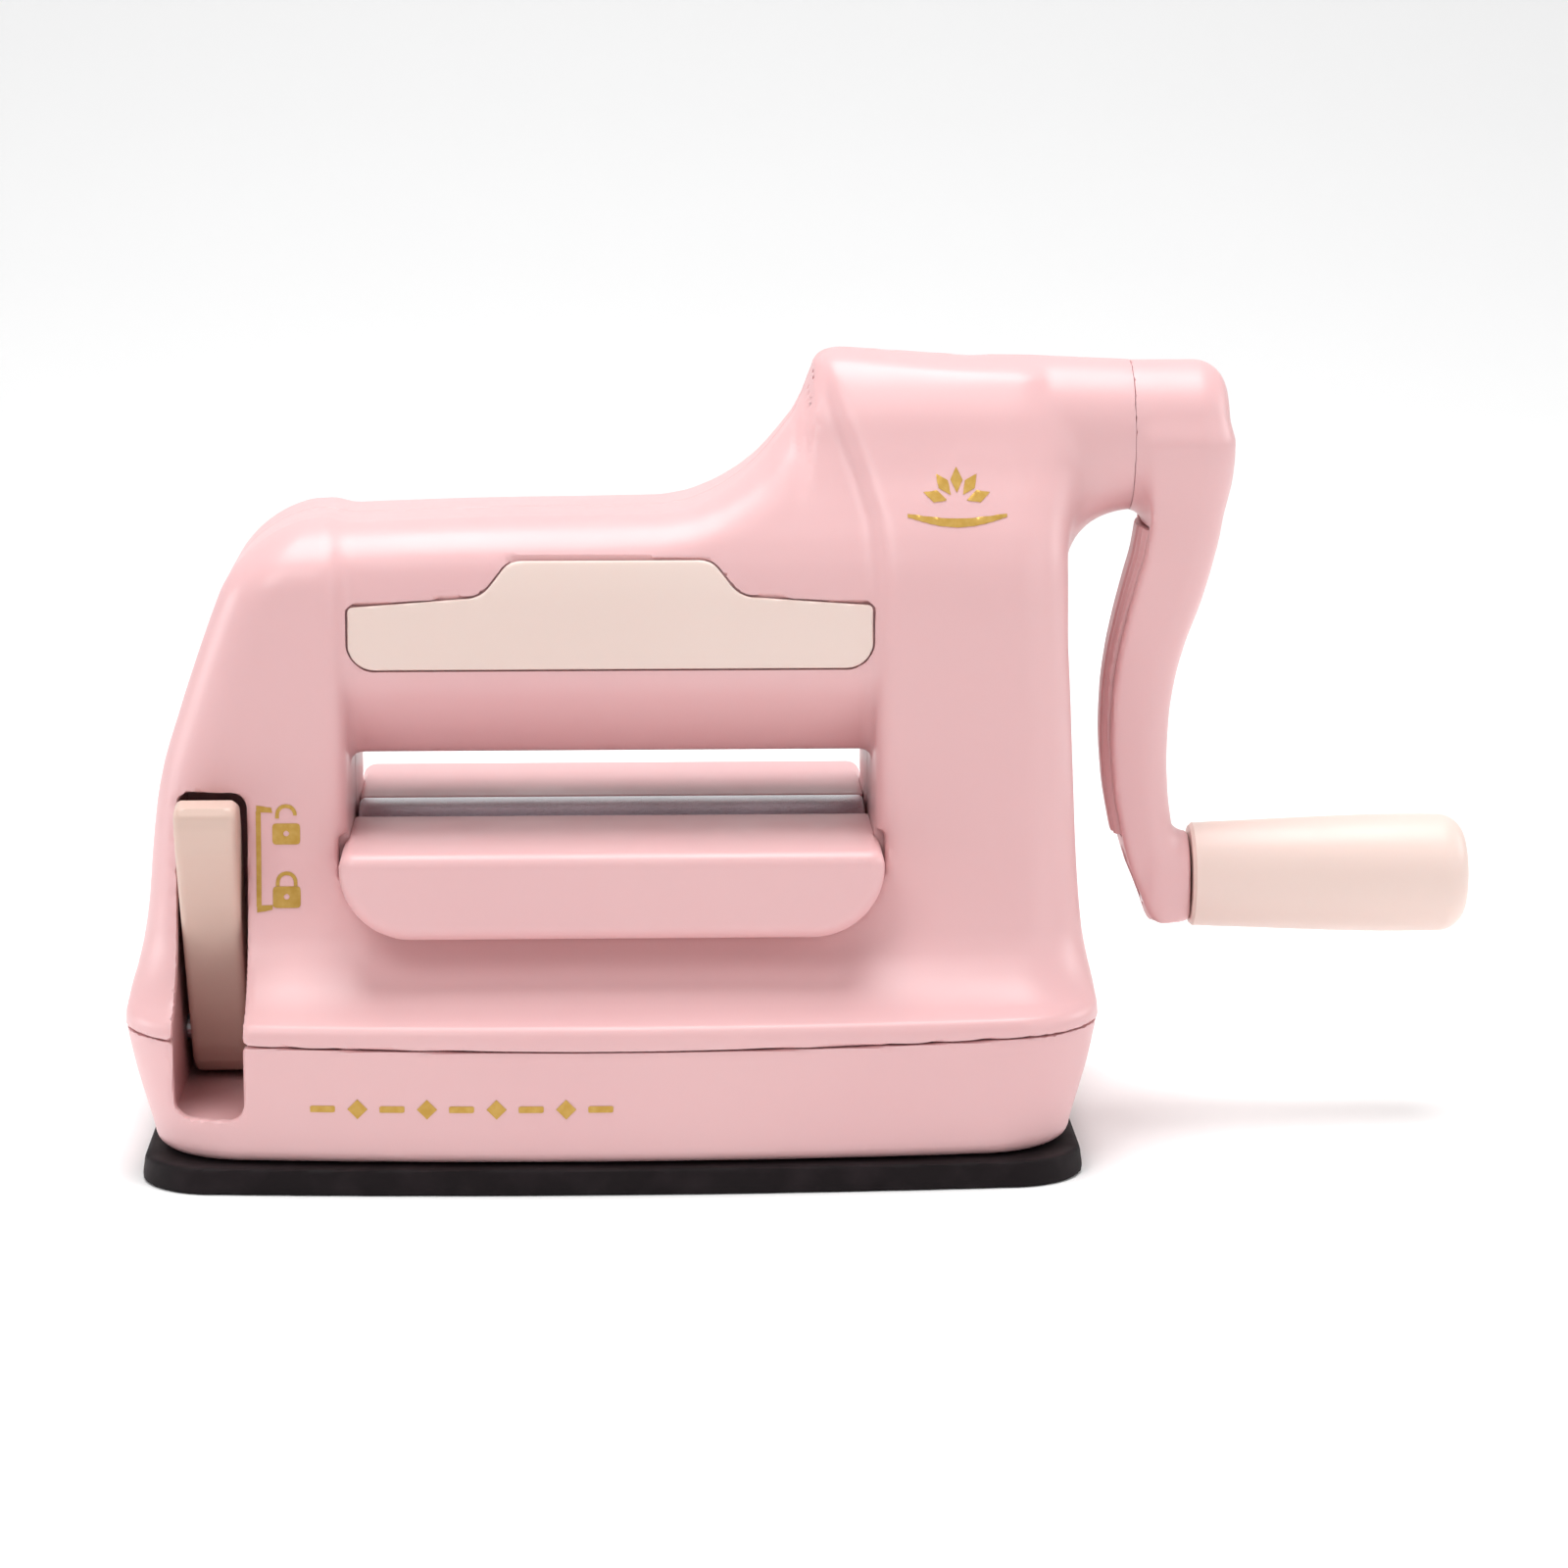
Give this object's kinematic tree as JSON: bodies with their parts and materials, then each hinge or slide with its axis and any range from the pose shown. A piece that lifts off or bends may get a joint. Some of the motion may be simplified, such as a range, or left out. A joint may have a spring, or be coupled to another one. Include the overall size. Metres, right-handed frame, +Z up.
{
  "type": "die cutting machine",
  "caption": "Hand-cranked tabletop die cutting machine: two geared steel rollers in a tall housing with feed trays, side crank, and a lever that locks the suction foot.",
  "frame": {"origin": "on the table under the centre of the overall box", "axes": "+X towards the crank grip, -Y towards the user at the front feed tray, +Z up"},
  "size_m": [0.2093, 0.101, 0.121],
  "materials": {
    "pink_plastic": "pale pink moulded ABS, satin with soft highlights",
    "cream_plastic": "warm cream moulded ABS, satin",
    "black_rubber": "matt black rubber",
    "steel": "ground steel",
    "zinc_plate": "zinc plated sheet steel",
    "gear_steel": "sintered steel, lightly greased",
    "brass": "plain bearing bronze"
  },
  "bodies": {
    "machine": {"base_shell": "pink_plastic", "front_housing": "pink_plastic", "rear_housing": "pink_plastic", "front_tray": "pink_plastic", "rear_tray": "pink_plastic", "front_trim_panel": "cream_plastic", "lever_well": "pink_plastic", "suction_foot": "black_rubber", "pad_ring": "black_rubber", "shaft_bracket_left": "steel", "shaft_bracket_right": "steel", "left_side_plate": "zinc_plate", "right_side_plate": "zinc_plate", "gear_plate": "zinc_plate", "tie_rod_1": "steel", "tie_rod_2": "steel", "tie_rod_3": "steel", "tie_rod_4": "steel", "gear_post_1": "steel", "gear_post_2": "steel", "gear_post_3": "steel", "gear_post_4": "steel", "lower_bush_left": "brass", "upper_bush_left": "brass", "lower_bush_right": "brass", "upper_bush_right": "brass", "lower_bush_outer": "brass", "crank_bush_inner": "brass", "crank_bush_outer": "brass", "idler_pin": "steel", "housing_screw_1": "steel", "housing_screw_2": "steel", "housing_screw_3": "steel"},
    "crank": {"crank_arm": "pink_plastic", "crank_arm_cover": "pink_plastic", "crank_cap": "pink_plastic", "crank_shaft": "steel", "crank_pinion": "gear_steel", "grip_spindle": "steel", "grip_clip": "steel"},
    "grip": {"grip": "cream_plastic"},
    "idler": {"idler_gear": "gear_steel"},
    "lower_roller": {"lower_roller": "steel", "lower_shaft": "steel", "lower_sync_gear": "gear_steel", "lower_drive_gear": "gear_steel"},
    "upper_roller": {"upper_roller": "steel", "upper_shaft": "steel", "upper_sync_gear": "gear_steel"},
    "lever": {"suction_lever": "cream_plastic", "lever_shaft": "steel", "lift_eccentric": "steel"},
    "stem": {"pull_stem": "steel", "pad_disc": "black_rubber"}
  },
  "joints": [
    {"name": "crank_spin", "type": "hinge", "parent": "machine", "child": "crank", "pos_m": [0.05035, 0, 0.10835], "axis": [1, 0, 0], "continuous": true},
    {"name": "grip_spin", "type": "hinge", "parent": "crank", "child": "grip", "pos_m": [0.08135, 0, 0.0382], "axis": [1, 0, 0], "continuous": true},
    {"name": "idler_spin", "type": "hinge", "parent": "machine", "child": "idler", "pos_m": [0.02935, 0, 0.0796], "axis": [1, 0, 0], "continuous": true},
    {"name": "lower_roller_spin", "type": "hinge", "parent": "machine", "child": "lower_roller", "pos_m": [-0.03065, 0, 0.0386], "axis": [1, 0, 0], "continuous": true},
    {"name": "upper_roller_spin", "type": "hinge", "parent": "machine", "child": "upper_roller", "pos_m": [-0.03065, 0, 0.0726], "axis": [1, 0, 0], "continuous": true},
    {"name": "lever_tilt", "type": "hinge", "parent": "machine", "child": "lever", "pos_m": [-0.09135, -0.01, 0.017], "axis": [1, 0, 0], "range_deg": [0, 50]},
    {"name": "stem_lift", "type": "slide", "parent": "machine", "child": "stem", "axis": [0, 0, 1], "range_m": [0, 0.0022]}
  ],
  "couplings": [
    {"joint": "idler_spin", "follows": "crank_spin", "ratio": -0.4375},
    {"joint": "lower_roller_spin", "follows": "crank_spin", "ratio": 0.3099},
    {"joint": "upper_roller_spin", "follows": "crank_spin", "ratio": -0.3099},
    {"joint": "lever_tilt", "follows": "stem_lift", "rad_per_m": 396.66}
  ]
}
